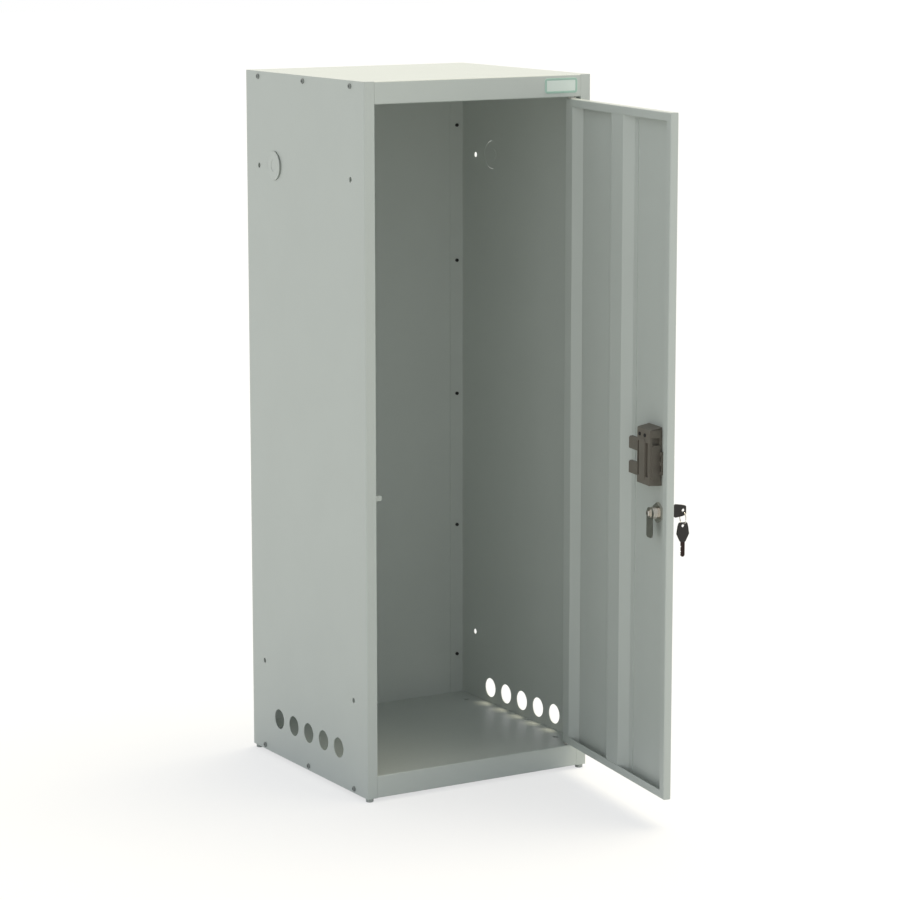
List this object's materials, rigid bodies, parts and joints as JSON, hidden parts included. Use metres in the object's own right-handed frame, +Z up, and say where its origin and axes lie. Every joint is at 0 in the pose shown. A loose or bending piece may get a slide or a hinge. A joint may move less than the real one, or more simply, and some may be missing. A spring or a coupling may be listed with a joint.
{
  "type": "gas cylinder cabinet",
  "caption": "Upright folded-sheet cabinet for a gas bottle, with vented side walls, a lockable hinged door on a plinth, a recessed pull and a cam lock with keys.",
  "frame": {"origin": "on the ground, midway between the side walls and between the front and the back", "axes": "+X to the right seen from the front, +Y to the back, +Z up; the door is stored open"},
  "size_m": [0.4064, 0.7279, 1.106],
  "materials": {
    "powder_coat": "satin powder coat",
    "zinc_plated_steel": "zinc plated",
    "blackened_steel": "blackened",
    "phosphated_steel": "phosphated",
    "lock_nickel": "nickel plated",
    "key_dark_nickel": "dark nickel plated",
    "wafer_brass": "bare",
    "handle_plastic": "moulded",
    "key_plastic": "moulded",
    "glide_plastic": "moulded",
    "bush_plastic": "moulded",
    "blank_plate": "satin"
  },
  "bodies": {
    "cabinet": {"left_side_wall": "powder_coat", "right_side_wall": "powder_coat", "top_panel": "powder_coat", "bottom_panel": "powder_coat", "back_panel": "powder_coat", "top_bolts": "phosphated_steel", "top_nuts": "zinc_plated_steel", "bottom_bolts": "phosphated_steel", "bottom_nuts": "zinc_plated_steel", "back_rivets": "blackened_steel", "glide_feet": "glide_plastic", "name_plate": "blank_plate", "upper_hinge_pin": "zinc_plated_steel", "lower_hinge_pin": "zinc_plated_steel", "lock_strike": "powder_coat"},
    "door": {"door_pan": "powder_coat", "door_stiffener": "powder_coat", "upper_hinge_bush": "bush_plastic", "lower_hinge_bush": "bush_plastic", "handle_cup": "handle_plastic", "handle_back": "handle_plastic", "handle_screws": "blackened_steel", "lock_body": "lock_nickel", "lock_nut": "lock_nickel"},
    "lock_barrel": {"lock_plug": "lock_nickel", "lock_wafers": "wafer_brass", "lock_cam": "lock_nickel", "cam_washer": "lock_nickel", "cam_screw": "lock_nickel"},
    "key": {"key_bow": "key_plastic", "key_blade": "key_dark_nickel"},
    "key_ring_body": {"key_ring": "lock_nickel"},
    "spare_key": {"spare_key_bow": "key_plastic", "spare_key_blade": "key_dark_nickel"}
  },
  "joints": [
    {"name": "door_hinge", "type": "hinge", "parent": "cabinet", "child": "door", "pos_m": [0.17053, -0.18625, 0.044], "axis": [0, 0, 1], "range_deg": [-82.2, 32.8]},
    {"name": "lock_turn", "type": "hinge", "parent": "door", "child": "lock_barrel", "pos_m": [0.13566, -0.48686, 0.4735], "axis": [-0.9907, 0.1357, 0], "range_deg": [0, 90]},
    {"name": "key_pull", "type": "slide", "parent": "lock_barrel", "child": "key", "axis": [0.9907, -0.1357, 0], "range_m": [0, 0.018]},
    {"name": "ring_swing", "type": "hinge", "parent": "key", "child": "key_ring_body", "pos_m": [0.1743, -0.49215, 0.4719], "axis": [-0.1357, -0.9907, 0], "range_deg": [-20, 60]},
    {"name": "spare_key_swing", "type": "hinge", "parent": "key_ring_body", "child": "spare_key", "pos_m": [0.1743, -0.49215, 0.4619], "axis": [-0.9907, 0.1357, 0], "range_deg": [-90, 90]}
  ]
}
